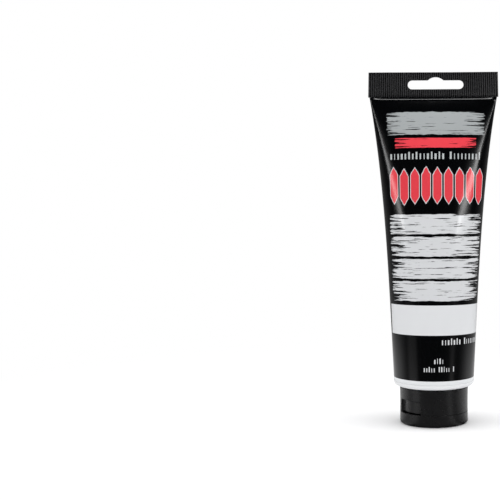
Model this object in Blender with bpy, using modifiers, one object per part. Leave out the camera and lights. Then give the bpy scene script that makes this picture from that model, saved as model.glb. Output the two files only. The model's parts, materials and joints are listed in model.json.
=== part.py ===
"""A 250 ml plastic paint tube that stands on its flip-top screw cap, closed at the top by a ribbed
flat crimp with a hanging slot.

The origin is on the surface that the cap stands on, on the tube's axis. +Z runs up the tube to the
crimp, X runs along the crimp, and -Y is the printed front.
"""

import math

import bmesh
import bpy
from mathutils import Matrix, Vector

MM = 0.001
GAP = 0.3 * MM

# Sleeve: a plastic hose of constant girth, round at the shoulder and flat at the crimp.
SLEEVE_RADIUS = 25.0 * MM
SLEEVE_WALL = 0.5 * MM
SLEEVE_BOTTOM = 26.6 * MM
ROUND_TOP = 29.0 * MM
FOLD_Z = 201.6 * MM
FOLD_HALF_WIDTH = 39.3 * MM
WIDENING_LATE_SHARE = 0.45
WIDENING_LATE_POWER = 3.4
CAVITY_TOP = 196.0 * MM
SLEEVE_SIDES = 56
SLEEVE_LEVELS = 13

# Crimp: the hose's two walls welded flat, with a rib every 1.3 mm and a slot for a display hook.
CRIMP_TOP = 216.5 * MM
CRIMP_HALF_WIDTH_TOP = 39.7 * MM
CRIMP_HALF_WIDTH_FOLD = 40.0 * MM
CRIMP_THICKNESS = 1.0 * MM
RIB_COUNT = 61
RIB_HEIGHT = 0.22 * MM
SLOT_LENGTH = 34.3 * MM
SLOT_HEIGHT = 5.5 * MM
SLOT_BOTTOM = 206.1 * MM
SLOT_X = 1.5 * MM
BUMP_RADIUS = 6.9 * MM
BUMP_RISE = 1.95 * MM

# Head: a moulded shoulder, and a neck with an outside thread.
SHOULDER_LOW_RADIUS = 21.2 * MM
SHOULDER_LOW_Z = 23.3 * MM
SPIGOT_TOP = 31.0 * MM
NECK_RADIUS = 9.0 * MM
NECK_BORE = 7.4 * MM
NECK_ROOT_Z = 20.2 * MM
NECK_LIP_Z = 10.7 * MM
ORIFICE_RADIUS = 3.0 * MM
ORIFICE_WALL = 1.0 * MM

# Screw thread, right-handed, shared by the neck and the cap.
THREAD_PITCH = 3.0 * MM
THREAD_STEPS = 32
NECK_THREAD_START_Z = 12.6 * MM
NECK_THREAD_TURNS = 1.25
NECK_CREST = 10.1 * MM
CAP_THREAD_START_Z = 14.1 * MM
CAP_THREAD_TURNS = 1.1
CAP_CREST = 9.6 * MM
CAP_BORE = 10.9 * MM
THREAD_ROOT_HALF = 0.85 * MM
THREAD_CREST_HALF = 0.42 * MM
THREAD_SINK = 0.35 * MM

# Foil seal under the neck's lip.
SEAL_RADIUS = 8.6 * MM
SEAL_THICKNESS = 0.3 * MM

# Cap: a waisted skirt with a deck and nozzle, and the lid that it stands on.
CAP_RADIUS = 21.3 * MM
CAP_WAIST = 0.37 * MM
CAP_TOP = 23.0 * MM
CAP_WALL = 1.3 * MM
LID_TOP = 7.2 * MM
BASE_BOTTOM = LID_TOP + GAP
LID_EDGE_ROUND = 1.7 * MM
LID_FLOOR = 1.5 * MM
DECK_BOTTOM = 8.6 * MM
DECK_TOP = 9.9 * MM
INNER_SKIRT_RADIUS = 12.3 * MM
INNER_SKIRT_TOP = 19.6 * MM
NOZZLE_RADIUS = 3.6 * MM
NOZZLE_BORE = 2.1 * MM
NOZZLE_TIP_Z = 5.6 * MM
PLUG_RADIUS = 1.65 * MM
PLUG_TIP_RADIUS = 1.35 * MM
PLUG_TOP = 8.9 * MM
CAP_SIDES = 64

# Thumb recess in the cap's skirt, above the lid, and the living hinge opposite it.
THUMB_ANGLE = math.radians(-138.0)
RECESS_HALF_ANGLE = math.radians(26.6)
RECESS_FLAT_SHARE = 0.66
RECESS_TOP = 15.7 * MM
RECESS_STRAIGHT = 1.9 * MM
RECESS_DRAFT = 0.4 * MM
RECESS_FLOOR = 19.2 * MM
RECESS_WALL = 1.2 * MM
RECESS_STEPS = 36
HINGE_ANGLE = THUMB_ANGLE + math.pi
HINGE_Z = LID_TOP + GAP / 2
HINGE_STANDOFF = 0.35 * MM
WEB_WIDTH = 9.0 * MM
WEB_THICKNESS = 0.35 * MM
WEB_HALF_HEIGHT = 2.2 * MM
WEB_SEAT_DEPTH = 0.6 * MM

# The fill stops below the crimp, at about 250 ml.
PAINT_TOP = 187.0 * MM


def clear_scene():
    for item in list(bpy.data.objects):
        bpy.data.objects.remove(item)
    for group in list(bpy.data.collections):
        bpy.data.collections.remove(group)


def new_collection(name, hidden=False):
    group = bpy.data.collections.new(name)
    bpy.context.scene.collection.children.link(group)
    group.hide_render = hidden
    return group


def new_material(name, colour, roughness, metallic=0.0):
    material = bpy.data.materials.new(name)
    material.use_nodes = True
    shader = material.node_tree.nodes["Principled BSDF"]
    shader.inputs["Base Color"].default_value = (*colour, 1.0)
    shader.inputs["Roughness"].default_value = roughness
    shader.inputs["Metallic"].default_value = metallic
    return material


def new_object(name, mesh, group, material=None):
    item = bpy.data.objects.new(name, mesh)
    group.objects.link(item)
    if material:
        item.data.materials.append(material)
    return item


def shade_round(mesh, sharp_degrees=35.0):
    mesh.shade_smooth()
    mesh.set_sharp_from_angle(angle=math.radians(sharp_degrees))


def loft(name, rings):
    """A closed mesh through rings of equal length, filled at its first and last ring."""
    shape = bmesh.new()
    rows = [[shape.verts.new(point) for point in ring] for ring in rings]
    for row, following in zip(rows, rows[1:]):
        for i in range(len(row)):
            j = (i + 1) % len(row)
            shape.faces.new((row[i], row[j], following[j], following[i]))
    shape.faces.new(list(reversed(rows[0])))
    shape.faces.new(rows[-1])
    bmesh.ops.recalc_face_normals(shape, faces=shape.faces)
    mesh = bpy.data.meshes.new(name)
    shape.to_mesh(mesh)
    shape.free()
    return mesh


def turned(name, profile, group, material=None, sides=CAP_SIDES):
    """A closed (radius, z) profile turned about Z. It runs down the outer side, top to bottom."""
    shape = bmesh.new()
    corners = [shape.verts.new((radius, 0.0, z)) for radius, z in profile]
    closes_off_axis = profile[0][0] > 0.0
    for corner, following in zip(corners, corners[1:]):
        shape.edges.new((corner, following))
    if closes_off_axis:
        shape.edges.new((corners[-1], corners[0]))
    mesh = bpy.data.meshes.new(name)
    shape.to_mesh(mesh)
    shape.free()
    item = new_object(name, mesh, group, material)
    screw = item.modifiers.new("turn", "SCREW")
    screw.axis = "Z"
    screw.steps = sides
    screw.render_steps = sides
    screw.use_merge_vertices = True
    screw.merge_threshold = 0.00001
    screw.use_smooth_shade = True
    return item


def baked(item, sharp_degrees=35.0):
    """Replaces the object's mesh by its evaluated one, so that it can be cut or joined."""
    graph = bpy.context.evaluated_depsgraph_get()
    mesh = bpy.data.meshes.new_from_object(item.evaluated_get(graph))
    item.modifiers.clear()
    item.data = mesh
    shade_round(mesh, sharp_degrees)
    return item


def combine(item, other, operation):
    """Adds a Boolean with a helper object, which is kept in the cutters' collection."""
    modifier = item.modifiers.new(operation.lower(), "BOOLEAN")
    modifier.operation = operation
    modifier.solver = "EXACT"
    modifier.object = other
    other.hide_render = True
    other.display_type = "WIRE"


def arc(centre, radius, start_degrees, end_degrees, steps):
    points = []
    for i in range(steps + 1):
        angle = math.radians(start_degrees + (end_degrees - start_degrees) * i / steps)
        points.append(
            (centre[0] + radius[0] * math.cos(angle), centre[1] + radius[1] * math.sin(angle))
        )
    return points


def girth(half_width, half_depth):
    """An ellipse's perimeter, by Ramanujan's formula."""
    total = half_width + half_depth
    spread = (3 * half_width + half_depth) * (half_width + 3 * half_depth)
    return math.pi * (3 * total - math.sqrt(spread))


def sleeve_half_width(z):
    share = max(0.0, (z - ROUND_TOP) / (FOLD_Z - ROUND_TOP))
    late = share**WIDENING_LATE_POWER
    widening = (1 - WIDENING_LATE_SHARE) * share + WIDENING_LATE_SHARE * late
    return SLEEVE_RADIUS + (FOLD_HALF_WIDTH - SLEEVE_RADIUS) * widening


def sleeve_half_depth(half_width):
    """The half depth that leaves the hose its round girth."""
    low, high = 0.0, SLEEVE_RADIUS
    target = girth(SLEEVE_RADIUS, SLEEVE_RADIUS)
    for _ in range(50):
        middle = (low + high) / 2
        if girth(half_width, middle) < target:
            low = middle
        else:
            high = middle
    return max(high, 2 * SLEEVE_WALL)


def sleeve_ring(z, inset=0.0):
    half_width = sleeve_half_width(z)
    half_depth = sleeve_half_depth(half_width)
    ring = []
    for i in range(SLEEVE_SIDES):
        angle = 2 * math.pi * i / SLEEVE_SIDES
        x = (half_width - inset) * math.cos(angle)
        y = (half_depth - inset) * math.sin(angle)
        ring.append(Vector((x, y, z)))
    return ring


def sleeve_levels(low, high):
    """Heights from low to high, closer together near the crimp, where the girth flattens fast."""
    steps = SLEEVE_LEVELS
    return [low + (high - low) * (1 - (1 - i / steps) ** 1.6) for i in range(steps + 1)]


def make_sleeve(group):
    material = new_material("printed_sleeve", (0.006, 0.006, 0.007), 0.32)
    inner = [sleeve_ring(z, SLEEVE_WALL) for z in sleeve_levels(SLEEVE_BOTTOM, CAVITY_TOP)]
    outer = [sleeve_ring(z) for z in sleeve_levels(SLEEVE_BOTTOM, FOLD_Z - GAP)]
    mesh = loft("tube_sleeve", list(reversed(inner)) + outer)
    shade_round(mesh)
    new_object("tube_sleeve", mesh, group, material)


def make_paint(group):
    material = new_material("titanium_white_paint", (0.86, 0.86, 0.85), 0.3)
    clearance = SLEEVE_WALL + GAP
    mesh = loft(
        "paint_fill",
        [sleeve_ring(z, clearance) for z in sleeve_levels(SPIGOT_TOP + GAP, PAINT_TOP)],
    )
    shade_round(mesh)
    new_object("paint_fill", mesh, group, material)


def crimp_outline(z, half_width):
    """One level of the ribbed crimp: two zigzag faces, half a rib apart from front to back."""
    teeth = 2 * RIB_COUNT
    ring = []
    for side in (-1, 1):
        for i in range(teeth + 1):
            x = -half_width + 2 * half_width * i / teeth
            crest = RIB_HEIGHT if i % 2 == 1 else 0.0
            ring.append(Vector((-side * x, side * (CRIMP_THICKNESS / 2 + crest), z)))
    return ring


def slot_outline():
    """The slot's (x, z) outline: round ends, and a raised arc over its middle for the hook."""
    half_height = SLOT_HEIGHT / 2
    reach = SLOT_LENGTH / 2 - half_height
    middle = SLOT_BOTTOM + half_height
    top = SLOT_BOTTOM + SLOT_HEIGHT
    bump_centre = top + BUMP_RISE - BUMP_RADIUS
    half_chord_angle = math.degrees(math.acos((top - bump_centre) / BUMP_RADIUS))
    points = arc((SLOT_X - reach, middle), (half_height, half_height), 270, 90, 10)
    points += arc(
        (SLOT_X, bump_centre),
        (BUMP_RADIUS, BUMP_RADIUS),
        90 + half_chord_angle,
        90 - half_chord_angle,
        9,
    )
    points += arc((SLOT_X + reach, middle), (half_height, half_height), 90, -90, 10)
    return points


def make_crimp(group, cutters):
    material = new_material("crimped_sleeve", (0.008, 0.008, 0.009), 0.4)
    mesh = loft(
        "end_crimp",
        [
            crimp_outline(FOLD_Z, CRIMP_HALF_WIDTH_FOLD),
            crimp_outline(CRIMP_TOP, CRIMP_HALF_WIDTH_TOP),
        ],
    )
    crimp = new_object("end_crimp", mesh, group, material)
    reach = 4 * CRIMP_THICKNESS
    outline = slot_outline()
    cutter_mesh = loft(
        "slot_cutter",
        [[Vector((x, y, z)) for x, z in outline] for y in (-reach, reach)],
    )
    combine(crimp, new_object("slot_cutter", cutter_mesh, cutters), "DIFFERENCE")


def thread_ridge(name, cutters, root, crest, start_z, turns):
    """A right-handed helical ridge from root to crest, with ends that fade to a third height."""
    sink = -THREAD_SINK if crest > root else THREAD_SINK
    steps = round(turns * THREAD_STEPS)
    rings = []
    for i in range(steps + 1):
        angle = 2 * math.pi * i / THREAD_STEPS
        middle = start_z + THREAD_PITCH * i / THREAD_STEPS
        fade = min(1.0, 0.34 + min(i, steps - i) / 4)
        tip = root + (crest - root) * fade
        corners = (
            (root + sink, -THREAD_ROOT_HALF),
            (tip, -THREAD_CREST_HALF),
            (tip, THREAD_CREST_HALF),
            (root + sink, THREAD_ROOT_HALF),
        )
        rings.append(
            [
                Vector((r * math.cos(angle), r * math.sin(angle), middle + rise))
                for r, rise in corners
            ]
        )
    return new_object(name, loft(name, rings), cutters)


def make_head(group, cutters):
    material = new_material("white_head", (0.72, 0.73, 0.75), 0.42)
    spigot_radius = SLEEVE_RADIUS - SLEEVE_WALL - GAP
    shoulder_top = SLEEVE_BOTTOM - GAP
    rounding = arc(
        (SHOULDER_LOW_RADIUS, shoulder_top),
        (SLEEVE_RADIUS - SHOULDER_LOW_RADIUS, shoulder_top - SHOULDER_LOW_Z),
        0,
        -90,
        8,
    )
    profile = [(spigot_radius, SPIGOT_TOP), (spigot_radius, shoulder_top)]
    profile += rounding
    profile += [
        (CAP_RADIUS - CAP_WALL - 0.6 * MM, SHOULDER_LOW_Z),
        (NECK_RADIUS, NECK_ROOT_Z),
        (NECK_RADIUS, NECK_LIP_Z + 0.4 * MM),
        (NECK_RADIUS - 0.4 * MM, NECK_LIP_Z),
        (ORIFICE_RADIUS, NECK_LIP_Z),
        (ORIFICE_RADIUS, NECK_LIP_Z + ORIFICE_WALL),
        (NECK_BORE, NECK_LIP_Z + ORIFICE_WALL),
        (NECK_BORE, NECK_ROOT_Z + 1.4 * MM),
        (SHOULDER_LOW_RADIUS, SHOULDER_LOW_Z + 2.0 * MM),
        (spigot_radius - 1.2 * MM, shoulder_top + 1.0 * MM),
        (spigot_radius - 1.2 * MM, SPIGOT_TOP),
    ]
    head = baked(turned("tube_shoulder", profile, group, material))
    ridge = thread_ridge(
        "neck_thread", cutters, NECK_RADIUS, NECK_CREST, NECK_THREAD_START_Z, NECK_THREAD_TURNS
    )
    combine(head, ridge, "UNION")


def make_seal(group):
    material = new_material("foil", (0.75, 0.76, 0.78), 0.3, metallic=1.0)
    top = NECK_LIP_Z - GAP / 2
    profile = [
        (0.0, top),
        (SEAL_RADIUS, top),
        (SEAL_RADIUS, top - SEAL_THICKNESS),
        (0.0, top - SEAL_THICKNESS),
    ]
    turned("foil_seal", profile, group, material, sides=48)


def skirt_radius(z):
    """The cap's outer radius at a height: widest at both ends, waisted between them."""
    share = z / CAP_TOP
    return CAP_RADIUS - CAP_WAIST * 4 * share * (1 - share)


def skirt_side(top, bottom, inset=0.0, steps=6):
    heights = [top + (bottom - top) * i / steps for i in range(steps + 1)]
    return [(skirt_radius(z) - inset, z) for z in heights]


def placed_at(angle, item):
    item.matrix_world = Matrix.Rotation(angle, 4, "Z")
    return item


def recess_swept(name, cutters, half_angle, section):
    """A cutter whose (radius, z) section is swept round the skirt, half_angle to each side."""
    rings = []
    for i in range(RECESS_STEPS + 1):
        share = 2 * i / RECESS_STEPS - 1
        angle = half_angle * share
        rings.append(
            [
                Vector((radius * math.cos(angle), radius * math.sin(angle), z))
                for radius, z in section(abs(share))
            ]
        )
    return placed_at(THUMB_ANGLE, new_object(name, loft(name, rings), cutters))


def recess_section(share):
    """The recess at a share of its half width: a flat floor that slopes out at its end."""
    slope = max(0.0, (share - RECESS_FLAT_SHARE) / (1 - RECESS_FLAT_SHARE))
    floor = RECESS_FLOOR + (CAP_RADIUS + 0.2 * MM - RECESS_FLOOR) * slope**1.5
    corner = math.sqrt(max(0.0, 1 - slope**2))
    low = BASE_BOTTOM + RECESS_STRAIGHT
    top = low + (RECESS_TOP - low) * corner
    return [
        (floor, LID_TOP),
        (1.1 * CAP_RADIUS, LID_TOP),
        (1.1 * CAP_RADIUS, top),
        (floor, top - RECESS_DRAFT),
    ]


def recess_backing(cutters, skirt_inside):
    """The wall behind the recess."""
    inside = RECESS_FLOOR - RECESS_WALL
    outside = skirt_inside + 0.5 * MM
    top = RECESS_TOP + RECESS_WALL
    section = [(inside, BASE_BOTTOM), (outside, BASE_BOTTOM), (outside, top), (inside, top)]
    return recess_swept(
        "recess_backing", cutters, RECESS_HALF_ANGLE + RECESS_WALL / CAP_RADIUS, lambda _: section
    )


def web_seat(name, cutters):
    """A shallow notch across the split line, in which the hinge's web lies."""
    bpy.ops.mesh.primitive_cube_add(size=1.0)
    seat = bpy.context.active_object
    seat.name = name
    depth = 4.0 * MM
    middle = skirt_radius(HINGE_Z) - WEB_SEAT_DEPTH + depth / 2
    seat.data.transform(
        Matrix.Translation((middle, 0.0, HINGE_Z))
        @ Matrix.Diagonal(
            (depth, WEB_WIDTH + 2 * GAP, 2 * (WEB_HALF_HEIGHT + GAP), 1.0)
        )
    )
    for owner in list(seat.users_collection):
        owner.objects.unlink(seat)
    cutters.objects.link(seat)
    return placed_at(HINGE_ANGLE, seat)


def make_cap_base(group, cutters):
    material = new_material("cap_plastic", (0.012, 0.012, 0.013), 0.38)
    inner_radius = CAP_RADIUS - CAP_WALL - CAP_WAIST
    profile = skirt_side(CAP_TOP, BASE_BOTTOM)
    profile += [
        (inner_radius, BASE_BOTTOM),
        (inner_radius, DECK_BOTTOM),
        (NOZZLE_RADIUS, DECK_BOTTOM),
        (NOZZLE_RADIUS - 0.3 * MM, NOZZLE_TIP_Z),
        (NOZZLE_BORE, NOZZLE_TIP_Z),
        (NOZZLE_BORE, DECK_TOP),
        (CAP_BORE, DECK_TOP),
        (CAP_BORE, INNER_SKIRT_TOP),
        (INNER_SKIRT_RADIUS, INNER_SKIRT_TOP),
        (INNER_SKIRT_RADIUS, DECK_TOP),
        (inner_radius, DECK_TOP),
        (inner_radius, CAP_TOP),
    ]
    base = baked(turned("cap_base", profile, group, material))
    combine(base, recess_backing(cutters, inner_radius), "UNION")
    scoop = recess_swept("recess_scoop", cutters, RECESS_HALF_ANGLE, recess_section)
    combine(base, scoop, "DIFFERENCE")
    combine(base, web_seat("web_seat_base", cutters), "DIFFERENCE")
    ridge = thread_ridge(
        "cap_thread", cutters, CAP_BORE, CAP_CREST, CAP_THREAD_START_Z, CAP_THREAD_TURNS
    )
    combine(base, ridge, "UNION")


def make_lid(group, cutters):
    material = new_material("lid_plastic", (0.012, 0.012, 0.013), 0.38)
    profile = skirt_side(LID_TOP, LID_EDGE_ROUND, steps=3)
    profile += arc(
        (skirt_radius(LID_EDGE_ROUND) - LID_EDGE_ROUND, LID_EDGE_ROUND),
        (LID_EDGE_ROUND, LID_EDGE_ROUND),
        -10,
        -90,
        6,
    )
    wall = skirt_radius(LID_EDGE_ROUND) - CAP_WALL
    profile += [
        (0.0, 0.0),
        (0.0, PLUG_TOP),
        (PLUG_TIP_RADIUS - 0.3 * MM, PLUG_TOP),
        (PLUG_TIP_RADIUS, PLUG_TOP - 0.3 * MM),
        (PLUG_RADIUS, NOZZLE_TIP_Z),
        (PLUG_RADIUS, LID_FLOOR),
        (wall - 0.6 * MM, LID_FLOOR),
        (wall, LID_FLOOR + 0.6 * MM),
        (wall, LID_TOP),
    ]
    lid = baked(lid_turned(profile, group, material))
    combine(lid, web_seat("web_seat_lid", cutters), "DIFFERENCE")


def lid_turned(profile, group, material):
    """The lid's profile reaches the axis in its middle, so its ends are joined off the axis."""
    start = profile.index((0.0, PLUG_TOP))
    return turned("cap_lid", profile[start:] + profile[:start], group, material)


def make_hinge_web(group):
    """The thin strip that the lid swings on, moulded with both halves of the cap."""
    material = new_material("web_plastic", (0.014, 0.014, 0.015), 0.42)
    inner = skirt_radius(HINGE_Z) - WEB_SEAT_DEPTH + GAP
    bpy.ops.mesh.primitive_cube_add(size=1.0)
    web = bpy.context.active_object
    web.name = "hinge_web"
    web.data.name = "hinge_web"
    web.data.transform(
        Matrix.Translation((inner + WEB_THICKNESS / 2, 0.0, HINGE_Z))
        @ Matrix.Diagonal((WEB_THICKNESS, WEB_WIDTH, 2 * WEB_HALF_HEIGHT, 1.0))
    )
    for owner in list(web.users_collection):
        owner.objects.unlink(web)
    group.objects.link(web)
    web.data.materials.append(material)
    placed_at(HINGE_ANGLE, web)


def set_joint_origins(group):
    """Moves the lid's origin to its hinge line, without moving the lid."""
    lid = group.objects["cap_lid"]
    hinge_radius = skirt_radius(HINGE_Z) + HINGE_STANDOFF
    hinge = Matrix.Rotation(HINGE_ANGLE, 4, "Z") @ Matrix.Translation((hinge_radius, 0.0, HINGE_Z))
    lid.data.transform(hinge.inverted())
    lid.matrix_world = hinge


def main():
    clear_scene()
    parts = new_collection("paint_tube")
    cutters = new_collection("cutters", hidden=True)
    make_sleeve(parts)
    make_crimp(parts, cutters)
    make_head(parts, cutters)
    make_paint(parts)
    make_seal(parts)
    make_cap_base(parts, cutters)
    make_lid(parts, cutters)
    make_hinge_web(parts)
    set_joint_origins(parts)


main()
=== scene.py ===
"""The looks of the paint tube: a satin black printed sleeve with a ribbed crimp, a white moulded
head, and a black flip-top cap. All sizes are in metres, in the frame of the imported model."""

import json
import math

import bmesh
import bpy
import numpy as np
from mathutils import Matrix, Vector, noise


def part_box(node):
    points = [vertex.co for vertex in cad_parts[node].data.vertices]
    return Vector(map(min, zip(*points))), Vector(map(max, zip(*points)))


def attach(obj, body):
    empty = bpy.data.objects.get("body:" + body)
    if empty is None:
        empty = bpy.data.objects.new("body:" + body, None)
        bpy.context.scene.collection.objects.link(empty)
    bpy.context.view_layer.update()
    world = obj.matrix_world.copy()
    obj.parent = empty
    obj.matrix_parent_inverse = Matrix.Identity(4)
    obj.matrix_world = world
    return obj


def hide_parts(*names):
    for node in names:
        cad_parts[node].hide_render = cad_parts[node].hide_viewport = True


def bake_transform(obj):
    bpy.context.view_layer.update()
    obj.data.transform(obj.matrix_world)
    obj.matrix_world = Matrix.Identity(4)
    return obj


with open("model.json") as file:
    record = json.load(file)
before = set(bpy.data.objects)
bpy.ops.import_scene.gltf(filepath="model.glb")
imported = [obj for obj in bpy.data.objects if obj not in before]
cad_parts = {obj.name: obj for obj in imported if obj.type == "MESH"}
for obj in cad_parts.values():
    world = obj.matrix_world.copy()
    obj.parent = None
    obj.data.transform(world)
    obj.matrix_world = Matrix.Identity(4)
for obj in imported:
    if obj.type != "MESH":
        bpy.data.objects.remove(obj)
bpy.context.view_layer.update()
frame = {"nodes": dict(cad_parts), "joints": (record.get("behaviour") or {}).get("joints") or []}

MM = 0.001
WELD = 0.001 * MM

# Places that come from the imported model.
SLEEVE_LOW, SLEEVE_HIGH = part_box("tube_sleeve")
CRIMP_LOW, CRIMP_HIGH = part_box("end_crimp")
HEAD_LOW, HEAD_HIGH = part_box("tube_shoulder")
BASE_LOW, BASE_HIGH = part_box("cap_base")
_, LID_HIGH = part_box("cap_lid")
JOINTS = {joint["name"]: joint for joint in frame["joints"]}
HINGE = Vector(JOINTS["lid_flip"]["pos_m"])
HINGE_ANGLE = math.atan2(HINGE.y, HINGE.x)
THUMB_ANGLE = HINGE_ANGLE - math.pi

# Sleeve.
SLEEVE_RADIUS = SLEEVE_HIGH.y
SLEEVE_WALL = 0.5 * MM
SLEEVE_BOTTOM = SLEEVE_LOW.z
FOLD_Z = CRIMP_LOW.z
ROUND_TOP = SLEEVE_BOTTOM + 2.4 * MM
FOLD_HALF_WIDTH = 39.3 * MM
WIDENING_LATE_SHARE = 0.45
WIDENING_LATE_POWER = 3.4
AROUND = 360
LEVELS = 150

# Crimp.
CRIMP_TOP = CRIMP_HIGH.z
CRIMP_HALF_WIDTH_FOLD = CRIMP_HIGH.x
CRIMP_HALF_WIDTH_TOP = CRIMP_HIGH.x - 0.3 * MM
CRIMP_HALF_THICKNESS = 0.5 * MM
RIB_COUNT = 61
RIB_HEIGHT = 0.2 * MM
COLUMNS_PER_RIB = 8
SLOT_LENGTH = 34.3 * MM
SLOT_HEIGHT = 5.5 * MM
SLOT_BOTTOM = FOLD_Z + 4.5 * MM
SLOT_X = 1.5 * MM
BUMP_RADIUS = 6.9 * MM
BUMP_RISE = 1.95 * MM

# Head and cap.
CAP_RADIUS = BASE_HIGH.x
CAP_WAIST = 0.22 * MM
CAP_TOP = BASE_HIGH.z
CAP_WALL = 1.3 * MM
BASE_BOTTOM = 7.5 * MM
LID_TOP = 7.38 * MM
THREAD_PITCH = 3.0 * MM
FINE_SIDES = 192


# ---------------------------------------------------------------- mesh helpers


def mesh_object(name, mesh, smooth_degrees=35.0):
    mesh.shade_smooth()
    mesh.set_sharp_from_angle(angle=math.radians(smooth_degrees))
    item = bpy.data.objects.new(name, mesh)
    bpy.context.scene.collection.objects.link(item)
    return item


def grid_loft(name, rings, smooth_degrees=35.0):
    """A closed mesh through equal rings of points, filled at both ends."""
    rows, count = len(rings), len(rings[0])
    points = np.concatenate([np.asarray(ring, float) for ring in rings])
    faces = []
    for row in range(rows - 1):
        low, high = row * count, (row + 1) * count
        for i in range(count):
            j = (i + 1) % count
            faces.append((low + i, low + j, high + j, high + i))
    faces.append(tuple(reversed(range(count))))
    faces.append(tuple(range((rows - 1) * count, rows * count)))
    mesh = bpy.data.meshes.new(name)
    mesh.from_pydata(points.tolist(), [], faces)
    shape = bmesh.new()
    shape.from_mesh(mesh)
    bmesh.ops.recalc_face_normals(shape, faces=shape.faces)
    shape.to_mesh(mesh)
    shape.free()
    return mesh_object(name, mesh, smooth_degrees)


def turned(name, profile, sides=FINE_SIDES, smooth_degrees=35.0):
    """A closed (radius, z) profile turned about Z, running down its outer side."""
    shape = bmesh.new()
    corners = [shape.verts.new((radius, 0.0, z)) for radius, z in profile]
    for corner, following in zip(corners, corners[1:]):
        shape.edges.new((corner, following))
    if profile[0][0] > 0.0:
        shape.edges.new((corners[-1], corners[0]))
    mesh = bpy.data.meshes.new(name)
    shape.to_mesh(mesh)
    shape.free()
    item = mesh_object(name, mesh, smooth_degrees)
    screw = item.modifiers.new("turn", "SCREW")
    screw.steps = sides
    screw.render_steps = sides
    screw.use_merge_vertices = True
    screw.merge_threshold = 0.00001
    apply_modifiers(item, smooth_degrees)
    return item


def apply_modifiers(item, smooth_degrees=35.0):
    graph = bpy.context.evaluated_depsgraph_get()
    mesh = bpy.data.meshes.new_from_object(item.evaluated_get(graph))
    item.modifiers.clear()
    item.data = mesh
    mesh.shade_smooth()
    mesh.set_sharp_from_angle(angle=math.radians(smooth_degrees))
    return item


def clean(mesh):
    """Welds what a boolean left within a micron, and cuts its many-sided faces into triangles."""
    shape = bmesh.new()
    shape.from_mesh(mesh)
    bmesh.ops.remove_doubles(shape, verts=shape.verts, dist=WELD)
    bmesh.ops.dissolve_degenerate(shape, edges=shape.edges, dist=WELD)
    many_sided = [face for face in shape.faces if len(face.verts) > 4]
    bmesh.ops.triangulate(shape, faces=many_sided)
    bmesh.ops.dissolve_degenerate(shape, edges=shape.edges, dist=WELD)
    shape.to_mesh(mesh)
    shape.free()


def combine(item, other, operation):
    """Joins or cuts item with a helper, which is then removed."""
    modifier = item.modifiers.new(operation, "BOOLEAN")
    modifier.operation = operation
    modifier.solver = "EXACT"
    modifier.object = other
    apply_modifiers(item)
    clean(item.data)
    bpy.data.objects.remove(other)
    return item


def arc(centre, radius, start, end, steps):
    angles = np.radians(np.linspace(start, end, steps + 1))
    return [
        (centre[0] + radius[0] * math.cos(a), centre[1] + radius[1] * math.sin(a)) for a in angles
    ]


def smooth(low, high, value):
    share = min(1.0, max(0.0, (value - low) / (high - low)))
    return share * share * (3 - 2 * share)


# ---------------------------------------------------------------- sleeve shape


def sleeve_half_width(z):
    share = max(0.0, (z - ROUND_TOP) / (FOLD_Z - ROUND_TOP))
    late = share**WIDENING_LATE_POWER
    widening = (1 - WIDENING_LATE_SHARE) * share + WIDENING_LATE_SHARE * late
    return SLEEVE_RADIUS + (FOLD_HALF_WIDTH - SLEEVE_RADIUS) * widening


def section(half_width, half_depth, count=1440):
    """An ellipse, counter-clockwise from the front centre, with its running length."""
    angle = np.linspace(-0.5 * np.pi, 1.5 * np.pi, count + 1)
    x = half_width * np.cos(angle)
    y = half_depth * np.sin(angle)
    length = np.concatenate([[0.0], np.cumsum(np.hypot(np.diff(x), np.diff(y)))])
    return x, y, length


def sleeve_section(z):
    """The section at a height, whose depth keeps the hose's girth as it was when round."""
    half_width = sleeve_half_width(z)
    girth = 2 * math.pi * SLEEVE_RADIUS
    low, high = 0.0, SLEEVE_RADIUS
    for _ in range(18):
        middle = (low + high) / 2
        if section(half_width, middle, 360)[2][-1] < girth:
            low = middle
        else:
            high = middle
    half_depth = max(high, 0.72 * MM)
    return section(half_width, half_depth)


def sleeve_dent(side_share, z, front):
    """Soft unevenness of a filled, handled tube, in metres inwards, strongest below the crimp."""
    near_fold = smooth(FOLD_Z - 75 * MM, FOLD_Z - 12 * MM, z)
    near_fold *= 1 - smooth(FOLD_Z - 6 * MM, FOLD_Z, z)
    seed = 3.7 if front else 11.3
    broad = noise.noise(Vector((side_share * 2.1, z / (38 * MM), seed)))
    flute = noise.noise(Vector((side_share * 5.5, z / (90 * MM), seed + 20)))
    body = smooth(SLEEVE_BOTTOM + 12 * MM, SLEEVE_BOTTOM + 45 * MM, z) * (
        1 - smooth(FOLD_Z - 8 * MM, FOLD_Z, z)
    )
    return 0.22 * MM * broad * body + 0.3 * MM * flute * near_fold


def fold_roll(z):
    """How far the film stands out where it leaves the crimp: a fine crease, then a soft roll."""
    below = (FOLD_Z - z) / MM
    roll = 0.3 * math.exp(-(((below - 2.0) / 0.7) ** 2))
    crease = 0.4 * math.exp(-((below / 0.9) ** 2))
    return (roll - crease) * MM


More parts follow.
